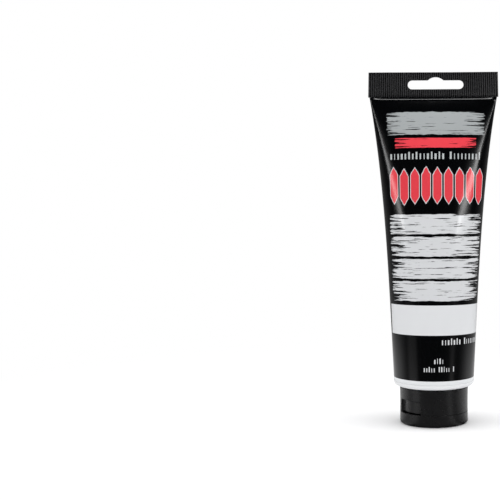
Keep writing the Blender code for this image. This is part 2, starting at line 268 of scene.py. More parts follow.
def sleeve_ring(z, inset=0.0, dented=True):
    """AROUND points at equal steps of the hose's girth, from the front centre."""
    x, y, length = sleeve_section(z)
    wanted = np.linspace(0.0, length[-1], AROUND, endpoint=False)
    ring_x = np.interp(wanted, length, x)
    ring_y = np.interp(wanted, length, y)
    half_width, half_depth = np.abs(x).max(), np.abs(y).max()
    normal_x = ring_x / half_width**2
    normal_y = ring_y / half_depth**2
    size = np.hypot(normal_x, normal_y)
    depth = np.full(AROUND, inset)
    if dented:
        for i in range(AROUND):
            side_share = abs(ring_x[i] / half_width)
            dent = sleeve_dent(ring_x[i] / half_width, z, ring_y[i] < 0)
            depth[i] += dent * (1 - side_share**4) - fold_roll(z) * (1 - side_share**16)
    ring_x = ring_x - depth * normal_x / size
    ring_y = ring_y - depth * normal_y / size
    return np.column_stack([ring_x, ring_y, np.full(AROUND, z)])


def set_print_place(item):
    """Stores each face corner's place on the flat print, in millimetres: along the girth, and up.
    The print's two ends meet in the middle of the back."""
    girth = 2 * math.pi * SLEEVE_RADIUS / MM
    layout = item.data.attributes.new("print_place", "FLOAT_VECTOR", "CORNER")
    values = []
    for face in item.data.polygons:
        along = np.array([corner % AROUND for corner in face.vertices]) * girth / AROUND
        if along.max() - along.min() > girth / 2:
            along[along < girth / 2] += girth
        if along.mean() > girth / 2:
            along -= girth
        for place, corner in zip(along, face.vertices):
            values += [place, item.data.vertices[corner].co.z / MM, 0.0]
    layout.data.foreach_set("vector", values)


def make_sleeve():
    share = np.linspace(0.0, 1.0, LEVELS)
    top = FOLD_Z + 0.05 * MM
    heights = ROUND_TOP + (top - ROUND_TOP) * (1 - (1 - share) ** 1.7)
    heights = np.union1d(heights, np.linspace(FOLD_Z - 4 * MM, top, 22))
    edge = [SLEEVE_BOTTOM + 0.02 * MM, SLEEVE_BOTTOM + 0.12 * MM, SLEEVE_BOTTOM + 0.35 * MM]
    insets = [0.2 * MM, 0.05 * MM, 0.0]
    inner_top = SLEEVE_BOTTOM + 3.0 * MM
    rings = [
        sleeve_ring(inner_top, SLEEVE_WALL, False),
        sleeve_ring(SLEEVE_BOTTOM + 0.02 * MM, SLEEVE_WALL, False),
    ]
    rings += [sleeve_ring(z, inset, False) for z, inset in zip(edge, insets)]
    rings += [sleeve_ring(z) for z in heights]
    item = grid_loft("sleeve_skin", rings, 60.0)
    set_print_place(item)
    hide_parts("tube_sleeve")
    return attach(item, "tube")


def crimp_ring(z):
    """One level of the crimp: front and back faces with rounded ribs, and a slight bow."""
    share = max(0.0, (z - FOLD_Z) / (CRIMP_TOP - FOLD_Z))
    half_width = CRIMP_HALF_WIDTH_FOLD + (CRIMP_HALF_WIDTH_TOP - CRIMP_HALF_WIDTH_FOLD) * share
    columns = RIB_COUNT * COLUMNS_PER_RIB
    place = np.linspace(-1.0, 1.0, columns + 1)
    rib = 0.5 - 0.5 * np.cos(np.pi * (place + 1) * RIB_COUNT)
    relief = RIB_HEIGHT * smooth(0.0, 0.03, share) * (1 - smooth(0.97, 1.0, share))
    bow = 0.35 * MM * np.sin(np.pi * place * 0.9 + 0.5) * share**1.5
    front = -(CRIMP_HALF_THICKNESS + relief * rib) + bow
    back = (CRIMP_HALF_THICKNESS + relief * rib) + bow
    height = np.full(columns + 1, z)
    front_row = np.column_stack([place * half_width, front, height])
    back_row = np.column_stack([place[::-1] * half_width, back[::-1], height])
    return np.concatenate([front_row, back_row])


def slot_outline():
    half_height = SLOT_HEIGHT / 2
    reach = SLOT_LENGTH / 2 - half_height
    middle = SLOT_BOTTOM + half_height
    top = SLOT_BOTTOM + SLOT_HEIGHT
    bump_centre = top + BUMP_RISE - BUMP_RADIUS
    chord = math.degrees(math.acos((top - bump_centre) / BUMP_RADIUS))
    bump = (BUMP_RADIUS, BUMP_RADIUS)
    points = arc((SLOT_X - reach, middle), (half_height, half_height), 270, 90, 24)
    points += arc((SLOT_X, bump_centre), bump, 90 + chord, 90 - chord, 24)
    points += arc((SLOT_X + reach, middle), (half_height, half_height), 90, -90, 24)
    return points


def make_crimp():
    low = FOLD_Z - 0.25 * MM
    inner = np.linspace(FOLD_Z + 0.5 * MM, CRIMP_TOP - 0.5 * MM, 12)
    heights = [low, FOLD_Z, FOLD_Z + 0.2 * MM, *inner, CRIMP_TOP - 0.2 * MM, CRIMP_TOP - 0.01 * MM]
    item = grid_loft("crimp_skin", [crimp_ring(z) for z in heights], 50.0)
    reach = 5 * MM
    outline = slot_outline()
    cutter = grid_loft("slot_cutter", [[(x, y, z) for x, z in outline] for y in (-reach, reach)])
    combine(item, cutter, "DIFFERENCE")
    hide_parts("end_crimp")
    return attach(item, "tube")


# ---------------------------------------------------------------- head and cap shapes


def thread_ridge(root, crest, start_z, turns, sink):
    """A right-handed helical ridge with rounded crests, which fades out at both ends."""
    steps = round(turns * FINE_SIDES / 2)
    rings = []
    for i in range(steps + 1):
        angle = 4 * math.pi * i / FINE_SIDES
        middle = start_z + THREAD_PITCH * angle / (2 * math.pi)
        fade = min(1.0, 0.2 + min(i, steps - i) / 14)
        ring = []
        for share in np.linspace(-1.0, 1.0, 9):
            rise = 0.9 * MM * share
            reach = min(1.0, 1.9 * (1 - abs(share))) ** 0.8 * fade
            ring.append((root + (crest - root) * reach, rise))
        ring += [(root + sink, 0.9 * MM), (root + sink, -0.9 * MM)]
        rings.append([(r * math.cos(angle), r * math.sin(angle), middle + rise) for r, rise in ring])
    return grid_loft("ridge", rings)


def make_head():
    spigot = SLEEVE_RADIUS - SLEEVE_WALL - 0.3 * MM
    top = SLEEVE_BOTTOM - 0.02 * MM
    low_radius, low_z = 21.2 * MM, 23.2 * MM
    neck, bore, lip = 9.0 * MM, 7.4 * MM, HEAD_LOW.z
    root_z = 20.2 * MM
    profile = [(spigot, HEAD_HIGH.z), (spigot, top), (SLEEVE_RADIUS - 0.25 * MM, top)]
    profile += arc((SLEEVE_RADIUS - 0.25 * MM, top - 0.2 * MM), (0.2 * MM, 0.2 * MM), 80, 10, 3)
    profile += arc(
        (low_radius, top - 0.3 * MM),
        (SLEEVE_RADIUS - 0.05 * MM - low_radius, top - 0.3 * MM - low_z),
        0,
        -90,
        20,
    )
    profile += [(low_radius - 1.5 * MM, low_z)]
    profile += [(neck + 1.0 * MM, root_z + 0.15 * MM)]
    profile += arc((neck + 1.0 * MM, root_z - 0.85 * MM), (1.0 * MM, 1.0 * MM), 110, 180, 5)
    profile += arc((neck - 0.4 * MM, lip + 0.4 * MM), (0.4 * MM, 0.4 * MM), 0, -90, 5)
    profile += [
        (3.3 * MM, lip),
        (3.0 * MM, lip + 0.3 * MM),
        (3.0 * MM, lip + 1.0 * MM),
        (bore, lip + 1.0 * MM),
        (bore, root_z + 1.4 * MM),
        (low_radius, low_z + 2.0 * MM),
        (spigot - 1.2 * MM, top + 1.0 * MM),
        (spigot - 1.2 * MM, HEAD_HIGH.z),
    ]
    item = turned("head_moulding", profile)
    combine(item, thread_ridge(neck, 10.1 * MM, 12.6 * MM, 1.25, -0.35 * MM), "UNION")
    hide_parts("tube_shoulder")
    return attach(item, "tube")


def skirt_radius(z):
    share = z / CAP_TOP
    return CAP_RADIUS - CAP_WAIST * 4 * share * (1 - share)


def skirt_side(top, bottom, steps=14):
    return [(skirt_radius(z), z) for z in np.linspace(top, bottom, steps + 1)]


def swept_round(name, half_angle, steps, outline):
    """A cutter whose (radius, z) outline is swept round the thumb's side of the cap."""
    rings = []
    for share in np.linspace(-1.0, 1.0, steps + 1):
        angle = THUMB_ANGLE + half_angle * share
        points = outline(abs(share))
        rings.append([(r * math.cos(angle), r * math.sin(angle), z) for r, z in points])
    return grid_loft(name, rings)


def recess_outline(share):
    flat, floor, top, straight = 0.86, 19.2 * MM, 15.5 * MM, 1.9 * MM
    slope = max(0.0, (share - flat) / (1 - flat))
    radius = floor + (CAP_RADIUS + 0.2 * MM - floor) * slope
    low = BASE_BOTTOM + straight
    ceiling = low + (top - low) * math.sqrt(max(0.0, 1 - slope**2))
    reach, chamfer = 1.1 * CAP_RADIUS, CAP_RADIUS - 0.45 * MM
    points = [(radius, LID_TOP), (reach, LID_TOP), (reach, ceiling + reach - chamfer)]
    points += [(max(radius + 0.6 * MM, chamfer), ceiling)]
    return points + [(radius + 0.5 * MM, ceiling - 0.05 * MM), (radius, ceiling - 0.6 * MM)]


def backing_outline(_):
    inside, outside, top = 18.0 * MM, CAP_RADIUS - CAP_WALL + 0.1 * MM, 16.9 * MM
    low = BASE_BOTTOM + 0.55 * MM
    bevel = 0.8 * MM
    points = [(inside, low), (outside, low), (outside, top)]
    return points + [(inside + bevel, top), (inside, top - bevel)]


def hinge_notch(name, depth, half_width, half_height):
    mesh = bpy.data.meshes.new(name)
    shape = bmesh.new()
    bmesh.ops.create_cube(shape, size=1.0)
    reach = 4 * MM
    middle = skirt_radius(HINGE.z) - depth + reach / 2
    size = Matrix.Diagonal((reach, 2 * half_width, 2 * half_height, 1.0))
    turn = Matrix.Rotation(HINGE_ANGLE, 4, "Z")
    shape.transform(turn @ Matrix.Translation((middle, 0.0, HINGE.z)) @ size)
    shape.to_mesh(mesh)
    shape.free()
    return mesh_object(name, mesh)


def make_cap_base():
    inner = CAP_RADIUS - CAP_WALL - CAP_WAIST
    deck_low, deck_top = 8.6 * MM, 9.9 * MM
    rim, ledge, seat = 0.2 * MM, CAP_TOP - 0.55 * MM, 20.7 * MM
    profile = [(seat - 0.1 * MM, CAP_TOP), (seat, CAP_TOP - 0.1 * MM), (seat, ledge)]
    profile += arc((CAP_RADIUS - rim, ledge - rim), (rim, rim), 90, 10, 5)
    profile += skirt_side(ledge - rim, BASE_BOTTOM + 0.1 * MM)
    profile += [
        (skirt_radius(BASE_BOTTOM) - 0.1 * MM, BASE_BOTTOM),
        (inner + 0.15 * MM, BASE_BOTTOM),
        (inner, BASE_BOTTOM + 0.15 * MM),
        (inner, deck_low),
        (4.2 * MM, deck_low),
    ]
    profile += arc((4.2 * MM, deck_low - 0.5 * MM), (0.6 * MM, 0.5 * MM), 90, 180, 4)
    profile += [
        (3.35 * MM, BASE_LOW.z + 0.25 * MM),
        (3.1 * MM, BASE_LOW.z),
        (2.35 * MM, BASE_LOW.z),
        (2.1 * MM, BASE_LOW.z + 0.25 * MM),
        (2.1 * MM, deck_top),
        (10.9 * MM, deck_top),
        (10.9 * MM, 19.6 * MM),
        (12.3 * MM, 19.6 * MM),
        (12.3 * MM, deck_top),
        (inner, deck_top),
        (inner, CAP_TOP - 0.3 * MM),
        (inner + 0.3 * MM, CAP_TOP),
    ]
    item = turned("cap_base_moulding", profile)
    backing = swept_round("backing", math.radians(29.8), 60, backing_outline)
    combine(item, backing, "UNION")
    scoop = swept_round("scoop", math.radians(26.6), 120, recess_outline)
    combine(item, scoop, "DIFFERENCE")
    combine(item, hinge_notch("notch", 0.6 * MM, 4.8 * MM, 2.5 * MM), "DIFFERENCE")
    ridge = thread_ridge(10.9 * MM, 9.6 * MM, 14.1 * MM, 1.1, 0.35 * MM)
    combine(item, ridge, "UNION")
    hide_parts("cap_base")
    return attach(item, "cap")


def make_lid():
    edge = 1.7 * MM
    foot = skirt_radius(edge) - edge
    wall = skirt_radius(edge) - CAP_WALL
    floor = 1.5 * MM
    profile = [(0.0, LID_HIGH.z)]
    profile += arc((1.05 * MM, LID_HIGH.z - 0.3 * MM), (0.3 * MM, 0.3 * MM), 90, 0, 4)
    profile += [(1.65 * MM, 5.6 * MM), (1.65 * MM, floor + 0.4 * MM), (2.0 * MM, floor)]
    profile += [(wall - 0.6 * MM, floor)]
    profile += arc((wall - 0.6 * MM, floor + 0.6 * MM), (0.6 * MM, 0.6 * MM), -80, 0, 4)
    profile += [(wall, LID_TOP - 0.15 * MM), (wall + 0.15 * MM, LID_TOP)]
    profile += [(skirt_radius(LID_TOP) - 0.1 * MM, LID_TOP)]
    profile += skirt_side(LID_TOP - 0.1 * MM, edge, 6)
    profile += arc((foot, edge), (edge, edge), -8, -90, 12)
    profile += [
        (16.0 * MM, 0.0),
        (15.8 * MM, 0.25 * MM),
        (1.6 * MM, 0.25 * MM),
        (1.2 * MM, 0.6 * MM),
        (0.0, 0.65 * MM),
    ]
    item = turned("lid_moulding", profile)
    combine(item, hinge_notch("notch", 0.6 * MM, 4.8 * MM, 2.5 * MM), "DIFFERENCE")
    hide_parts("cap_lid")
    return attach(item, "lid")


def make_hinge_strap():
    """The living hinge: a thin web with a thinner fold, set between cap and lid."""
    half_width, half_height = 4.4 * MM, 2.4 * MM
    back = skirt_radius(HINGE.z) - 0.55 * MM
    rings = []
    for share in np.linspace(-1.0, 1.0, 41):
        across = share * half_width
        ring = []
        for rise in np.linspace(-1.0, 1.0, 25):
            thin = math.exp(-((rise * half_height) / (0.35 * MM)) ** 2)
            ring.append((back + (0.5 - 0.28 * thin) * MM, rise * half_height))
        for rise in np.linspace(1.0, -1.0, 25):
            ring.append((back, rise * half_height))
        rings.append([(depth, across, HINGE.z + rise) for depth, rise in ring])
    item = grid_loft("hinge_strap", rings, 40.0)
    item.data.transform(Matrix.Rotation(HINGE_ANGLE, 4, "Z"))
    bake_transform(item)
    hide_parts("hinge_web")
    return item


# ---------------------------------------------------------------- node helpers


class Graph:
    """Builds a node material with short calls. A value is a socket or a number."""

    def __init__(self, name):
        self.material = bpy.data.materials.new(name)
        self.material.use_nodes = True
        self.tree = self.material.node_tree
        self.shader = self.tree.nodes["Principled BSDF"]

    def node(self, kind, **settings):
        made = self.tree.nodes.new(kind)
        for key, value in settings.items():
            setattr(made, key, value)
        return made

    def feed(self, socket, value):
        if isinstance(value, bpy.types.NodeSocket):
            self.tree.links.new(value, socket)
        else:
            socket.default_value = value

    def math(self, operation, a, b=0.0, c=0.0):
        made = self.node("ShaderNodeMath", operation=operation)
        for socket, value in zip(made.inputs, (a, b, c)):
            self.feed(socket, value)
        return made.outputs[0]

    def add(self, a, b):
        return self.math("ADD", a, b)

    def sub(self, a, b):
        return self.math("SUBTRACT", a, b)

    def mul(self, a, b):
        return self.math("MULTIPLY", a, b)

    def either(self, a, b):
        return self.math("MAXIMUM", a, b)

    def step(self, low, high, value):
        """0 below low and 1 above high, smooth between."""
        made = self.node("ShaderNodeMapRange", interpolation_type="SMOOTHSTEP")
        for key, part in (("Value", value), ("From Min", low), ("From Max", high)):
            self.feed(made.inputs[key], part)
        return made.outputs["Result"]

    def band(self, value, low, high, soft=0.08):
        rise = self.step(low - soft, low + soft, value)
        fall = self.step(high - soft, high + soft, value)
        return self.mul(rise, self.sub(1.0, fall))

    def vector(self, x, y, z=0.0):
        made = self.node("ShaderNodeCombineXYZ")
        for socket, value in zip(made.inputs, (x, y, z)):
            self.feed(socket, value)
        return made.outputs[0]

    def noise(self, vector, scale=1.0, detail=2.0, roughness=0.5):
        made = self.node("ShaderNodeTexNoise")
        self.feed(made.inputs["Vector"], vector)
        made.inputs["Scale"].default_value = scale
        made.inputs["Detail"].default_value = detail
        made.inputs["Roughness"].default_value = roughness
        return made.outputs["Fac"]

    def mix(self, share, a, b):
        made = self.node("ShaderNodeMix", data_type="RGBA")
        self.feed(made.inputs["Factor"], share)
        for socket, value in ((made.inputs[6], a), (made.inputs[7], b)):
            if isinstance(value, tuple):
                value = (*value, 1.0)
            self.feed(socket, value)
        return made.outputs[2]

    def bump(self, height, strength, distance, normal=None):
        made = self.node("ShaderNodeBump")
        made.inputs["Strength"].default_value = strength
        made.inputs["Distance"].default_value = distance
        self.feed(made.inputs["Height"], height)
        if normal:
            self.feed(made.inputs["Normal"], normal)
        return made.outputs["Normal"]

    def object_place(self):
        return self.node("ShaderNodeTexCoord").outputs["Object"]

    def split(self, vector):
        made = self.node("ShaderNodeSeparateXYZ")
        self.feed(made.inputs[0], vector)
        return made.outputs[0], made.outputs[1], made.outputs[2]

    def finish(self, **values):
        for key, value in values.items():
            self.feed(self.shader.inputs[key.replace("_", " ")], value)
        return self.material


def put_on(item, material):
    item.data.materials.clear()
    item.data.materials.append(material)


# ---------------------------------------------------------------- the print

BLACK = (0.0007, 0.0009, 0.0013)
WHITE_PLASTIC = (0.74, 0.755, 0.77)
SILVER = (0.46, 0.49, 0.49)
SILVER_DARK = (0.35, 0.37, 0.375)
PALE = (0.62, 0.63, 0.645)
RED = (0.78, 0.055, 0.075)
RED_DARK = (0.62, 0.04, 0.055)
BAND_COLOUR = (0.68, 0.69, 0.705)
GREEK = (0.33, 0.34, 0.35)

# The print's layout, in millimetres: u runs along the girth from the front's middle, v runs up.
MARGIN_TOP = 29.03
BAND_SPAN, BAND_RISE = (-33.0, 52.0), (56.5, 74.5)
LOW_ZONE_TOP, LOWER_STROKES_TOP, UPPER_STROKES_TOP, TILES_TOP = 76.0, 103.0, 131.0, 160.0
BACK_FROM = 52.0
TILE_PITCH, TILE_START, TILE_MIDDLE = 6.8, -28.2, 145.6
BACK_LINE_PITCH = 4.2


def brush_stroke(g, u, v, centre, size, seed, dry, rag, grain):
    """A level dry brush stroke: streaks along its length, a ragged outline and broken ends."""
    across, up = g.sub(u, centre[0]), g.sub(v, centre[1])
    half_length, half_height = size[0] / 2, size[1] / 2
    ends = g.noise(g.vector(seed, g.mul(up, 1.1), seed), 1.0, 3.0, 0.7)
    ends = g.mul(g.sub(ends, 0.5), 2 * rag)
    wobble = g.noise(g.vector(g.mul(across, 0.09), seed + 5.0), 1.0, 3.0, 0.6)
    wobble = g.mul(g.sub(wobble, 0.5), 0.16 * size[1])
    inside = g.band(g.add(across, ends), -half_length, half_length, 0.15)
    inside = g.mul(inside, g.band(g.add(up, wobble), -half_height, half_height, 0.12))
    streak_place = g.vector(g.mul(across, 0.055), g.mul(up, grain), seed + 9.0)
    streak = g.noise(streak_place, 1.0, 4.0, 0.62)
    edge = g.math("ABSOLUTE", g.math("DIVIDE", across, half_length))
    # The stroke's ink wears thin towards its ends.
    wear_and_highlight = g.mul(g.math("POWER", edge, 3.0), 0.16)
    limit = g.add(0.27 + 0.2 * dry, wear_and_highlight)
    inked = g.step(limit, g.add(limit, 0.035), streak)
    return g.mul(inside, inked)


def cells(g, u, low, pitch):
    """The number of the cell that u is in, and the place in it from the cell's middle."""
    share = g.math("DIVIDE", g.sub(u, low), pitch)
    number = g.math("FLOOR", share)
    return number, g.mul(g.sub(g.sub(share, number), 0.5), pitch)


def chance(g, number, seed):
    made = g.node("ShaderNodeTexWhiteNoise", noise_dimensions="1D")
    g.feed(made.inputs["W"], g.add(number, seed))
    return made.outputs["Value"]


def below(g, distance, limit, soft=0.08):
    return g.sub(1.0, g.step(limit - soft, limit + soft, distance))


def greek_line(g, u, v, span, rise, seed, pitch, gaps):
    """Uneven upright bars in the place of a line of print, which spell nothing."""
    (low, high), (bottom, top) = span, rise
    number, place = cells(g, u, low, pitch)
    half = g.mul(g.add(0.11, g.mul(chance(g, number, seed), 0.17)), pitch)
    short = g.math("GREATER_THAN", chance(g, number, seed + 3.3), 0.35)
    drop = g.mul(short, 0.24 * (top - bottom))
    bar = g.mul(
        g.math("LESS_THAN", g.math("ABSOLUTE", place), half),
        g.band(g.add(v, drop), bottom, top, 0.05),
    )
    bar = g.mul(bar, g.step(bottom - 0.05, bottom + 0.05, v))
    shown = g.math("GREATER_THAN", chance(g, number, seed + 7.7), gaps)
    return g.mul(g.mul(bar, shown), g.band(u, low, high, 0.02))


def print_graph(name):
    g = Graph(name)
    place = g.node("ShaderNodeAttribute", attribute_name="print_place").outputs["Vector"]
    u, v, _ = g.split(place)
    return g, u, v


def finish_print(g, colour):
    """Ink on film: a satin coat with a faint orange peel and uneven gloss."""
    spot = g.object_place()
    peel = g.noise(spot, 900.0, 2.0, 0.5)
    drift = g.noise(spot, 60.0, 3.0, 0.55)
    rough = g.add(0.12, g.mul(drift, 0.07))
    normal = g.bump(peel, 0.03, 0.0002)
    return g.finish(Base_Color=colour, Roughness=rough, Normal=normal, Specular_IOR_Level=0.5)


def make_top_print():
    """A broad silver stroke of paint, a narrow red one under it, and a row of small bars."""
    g, u, v = print_graph("print_top_finish")
    look = {"dry": 0.4, "rag": 2.4, "grain": 1.2}
    silver = brush_stroke(g, u, v, (1.5, 184.5), (60.0, 14.0), seed=4.0, **look)
    red = brush_stroke(g, u, v, (1.5, 172.4), (50.0, 6.0), seed=1.0, **look)
    colour = g.mix(silver, BLACK, SILVER_DARK)
    colour = g.mix(red, colour, RED)
    bars = greek_line(g, u, v, (-27.4, 30.6), (162.4, 166.9), seed=3.0, pitch=2.3, gaps=0.1)
    return finish_print(g, g.mix(bars, colour, SILVER))


def make_tile_print():
    """A frieze of upright pointed red dabs with pale edges."""
    g, u, v = print_graph("print_tiles_finish")
    number, place = cells(g, u, TILE_START, TILE_PITCH)
    up = g.sub(v, g.add(TILE_MIDDLE, g.mul(chance(g, number, 3.0), 1.2)))
    rise = g.math("DIVIDE", up, 11.4)
    outline = g.mul(g.sub(1.0, g.mul(rise, rise)), 4.3)
    wobble = g.mul(g.sub(g.noise(g.vector(u, v, 4.0), 0.6, 3.0, 0.6), 0.5), 0.9)
    dab = g.add(g.mul(g.sub(g.math("ABSOLUTE", place), outline), 0.8), wobble)
    dab = g.either(dab, g.sub(g.math("ABSOLUTE", place), 2.9))
    dab = g.either(dab, g.sub(g.math("ABSOLUTE", g.sub(u, 2.4)), 30.6))
    grain = g.noise(g.vector(g.mul(u, 0.8), g.mul(v, 0.8), 3.0), 1.0, 4.0, 0.7)
    colour = g.mix(below(g, dab, 0.0), BLACK, PALE)
    colour = g.mix(below(g, dab, -0.36), colour, g.mix(grain, RED_DARK, RED))
    return finish_print(g, colour)


def make_pale_strokes(name, middles, seed):
    """Level dry strokes of pale paint, one above another."""
    g, u, v = print_graph(name)
    inked = 0.0
    look = {"dry": 0.55, "rag": 2.4, "grain": 1.0}
    for middle in middles:
        seed += 10.0
        stroke = brush_stroke(g, u, v, (2.0, middle), (62.0, 11.8), seed=seed, **look)
        inked = g.either(inked, stroke)
    return finish_print(g, g.mix(inked, BLACK, PALE))


def make_lower_strokes():
    return make_pale_strokes("print_lower_strokes_finish", (83.0, 96.4), 3.0)


def make_upper_strokes():
    return make_pale_strokes("print_upper_strokes_finish", (109.8, 123.2), 33.0)


def make_low_print():
    """A plain pale colour band, small bars in the place of small print, and a white margin."""
    g, u, v = print_graph("print_low_finish")
    band = g.mul(g.band(v, *BAND_RISE, 0.06), g.band(u, *BAND_SPAN, 0.06))
    colour = g.mix(band, BLACK, BAND_COLOUR)
    first = greek_line(g, u, v, (4.3, 37.0), (50.8, 54.6), seed=11.0, pitch=1.9, gaps=0.1)
    second = greek_line(g, u, v, (-0.2, 6.1), (39.6, 42.9), seed=17.0, pitch=1.6, gaps=0.0)
    third = greek_line(g, u, v, (-8.0, 14.8), (34.7, 37.8), seed=29.0, pitch=1.5, gaps=0.1)
    colour = g.mix(g.either(g.either(first, second), third), colour, PALE)
    margin = below(g, v, MARGIN_TOP, 0.05)
    return finish_print(g, g.mix(margin, colour, WHITE_PLASTIC))


def make_back_print():
    """A block of small bars and an empty pale panel."""
    g, u, v = print_graph("print_back_finish")
    half_girth = math.pi * SLEEVE_RADIUS / MM
    side = g.mul(g.sub(half_girth, g.math("ABSOLUTE", u)), g.math("SIGN", u))
    row = g.math("FLOOR", g.math("DIVIDE", v, BACK_LINE_PITCH))
    within = g.sub(v, g.mul(row, BACK_LINE_PITCH))
    end = g.sub(22.0, g.mul(g.math("MODULO", row, 3.0), 3.0))
    words = greek_line(g, side, within, (-23.0, 30.0), (1.0, 2.9), seed=1.5, pitch=1.3, gaps=0.14)
    words = g.mul(words, g.math("LESS_THAN", side, end))
    colour = g.mix(g.mul(words, g.band(v, 113.4, 168.0)), BLACK, GREEK)
    panel = g.mul(g.band(side, -19.0, 19.0, 0.06), g.band(v, 84.0, 104.0, 0.06))
    return finish_print(g, g.mix(panel, colour, BAND_COLOUR))


def put_print_on(item):
    """One material for each zone of the print, so that no shader grows too large to render."""
    low, lower, upper, tiles, top, back = range(6)
    limits = (
        (LOW_ZONE_TOP, low),
        (LOWER_STROKES_TOP, lower),
        (UPPER_STROKES_TOP, upper),
        (TILES_TOP, tiles),
    )
    for make in (
        make_low_print,
        make_lower_strokes,
        make_upper_strokes,
        make_tile_print,
        make_top_print,
        make_back_print,
    ):
        item.data.materials.append(make())
    place = np.empty(3 * len(item.data.loops), np.float32)
    item.data.attributes["print_place"].data.foreach_get("vector", place)
    place = place.reshape(-1, 3)
    zones = []
    for face in item.data.polygons:
        u, v, _ = place[face.loop_start : face.loop_start + face.loop_total].mean(axis=0)
        zone = top
        for limit, name in limits:
            if v < limit:
                zone = name
                break
        zones.append(back if abs(u) > BACK_FROM and v > LOW_ZONE_TOP else zone)
    item.data.polygons.foreach_set("material_index", zones)
    item.data.update()


# ---------------------------------------------------------------- plain materials

WHITE_TINT = (0.8, 0.81, 0.82)
CAP_BLACK = (0.0075, 0.0075, 0.008)
CAP_BLACK_TINT = (0.011, 0.011, 0.0115)
# Painted shade in the crimp's rib valleys and a painted highlight on their crests.
RIB_VALLEY_PAINTED_SHADE = (0.0003, 0.0003, 0.0004)
RIB_CREST_PAINTED_HIGHLIGHT = (0.036, 0.036, 0.039)
CUT_PLASTIC = (0.2, 0.2, 0.21)


def make_crimp_material():
    """Black print with a painted highlight on the ribs' crests and painted shade in their valleys,
    and grey plastic at the cut top and slot edges.
    """
    g = Graph("crimped_sleeve_finish")
    normal = g.node("ShaderNodeNewGeometry").outputs["Normal"]
    _, facing, _ = g.split(normal)
    cut = g.sub(1.0, g.step(0.15, 0.3, g.math("ABSOLUTE", facing)))
    spot = g.object_place()
    # Noise that mottles the crests' painted highlight and the roughness.
    mottle = g.noise(spot, 400.0, 3.0, 0.6)
    x, _, z = g.split(spot)
    share = g.mul(g.sub(z, FOLD_Z), 1.0 / (CRIMP_TOP - FOLD_Z))
    narrowing = CRIMP_HALF_WIDTH_TOP - CRIMP_HALF_WIDTH_FOLD
    half_width = g.add(CRIMP_HALF_WIDTH_FOLD, g.mul(share, narrowing))
    crest = g.math("COSINE", g.mul(g.math("DIVIDE", x, half_width), math.pi * RIB_COUNT))
    # A painted highlight that grows towards each rib's crest, mottled by noise, and painted shade in
    # the valleys.
    wear_and_highlight = g.mul(g.step(-0.1, 1.0, crest), g.add(0.6, g.mul(mottle, 0.6)))
    colour = g.mix(wear_and_highlight, RIB_VALLEY_PAINTED_SHADE, RIB_CREST_PAINTED_HIGHLIGHT)
    colour = g.mix(cut, colour, CUT_PLASTIC)
    rough = g.add(0.22, g.mul(mottle, 0.12))
    return g.finish(Base_Color=colour, Roughness=rough, Specular_IOR_Level=0.45)


def make_moulded_material(name, colour, tint, base_rough, specular, peel=0.12, subsurface=0.0):
    g = Graph(name)
    spot = g.object_place()
    drift = g.noise(spot, 120.0, 3.0, 0.6)
    fine = g.noise(spot, 2600.0, 2.0, 0.55)
    shade = g.mix(drift, colour, tint)
    rough = g.add(base_rough - 0.05, g.mul(drift, 0.1))
    normal = g.bump(fine, peel, 0.00012)
    g.finish(Base_Color=shade, Roughness=rough, Normal=normal, Specular_IOR_Level=specular)
    if subsurface:
        g.shader.inputs["Subsurface Weight"].default_value = subsurface
        g.shader.inputs["Subsurface Scale"].default_value = 0.0015
        g.shader.inputs["Subsurface Radius"].default_value = (1.0, 1.0, 1.0)
    return g.material


def make_head_material():
    return make_moulded_material(
        "white_head_finish", WHITE_PLASTIC, WHITE_TINT, 0.4, 0.4, peel=0.08, subsurface=0.15
    )


def make_foil_material():
    g = Graph("foil_finish")
    spot = g.object_place()
    crinkle = g.noise(spot, 500.0, 4.0, 0.6)
    normal = g.bump(crinkle, 0.35, 0.0003)
    rough = g.add(0.18, g.mul(crinkle, 0.15))
    shade = g.mix(crinkle, (0.72, 0.73, 0.75), (0.86, 0.87, 0.88))
    g.shader.inputs["Metallic"].default_value = 1.0
    return g.finish(Base_Color=shade, Roughness=rough, Normal=normal)


def make_paint_material():
    g = Graph("white_paint_finish")
    swirl = g.noise(g.object_place(), 90.0, 4.0, 0.55)
    shade = g.mix(swirl, (0.84, 0.84, 0.82), (0.9, 0.9, 0.89))
    normal = g.bump(swirl, 0.2, 0.001)
    return g.finish(Base_Color=shade, Roughness=g.add(0.2, g.mul(swirl, 0.1)), Normal=normal)


# ---------------------------------------------------------------- studio

LIGHT_AIM = Vector((0.0, 0.0, 0.12))
AMBIENT = 0.88
REFLECTED_FRONT = 0.012
REFLECTED_BACK = 0.24

FLOOR_RADIUS = 4.0
FLOOR_COLOUR = (0.88, 0.88, 0.885)
FLOOR_BARE_FROM, FLOOR_BARE_BY = 0.04, 0.4
SIDE_POOLS = ((0.68, 0.8), (-0.94, -0.7))

CAMERA_DISTANCE = 0.576
CAMERA_HEIGHT = 0.122
CAMERA_AZIMUTH = 0.0
CAMERA_PITCH = 2.8
CAMERA_YAW = -1.15
CAMERA_ROLL = -0.2
CAMERA_LENS = 66.8
CAMERA_SHIFT_X = -0.33
CAMERA_SHIFT_Y = 0.0432


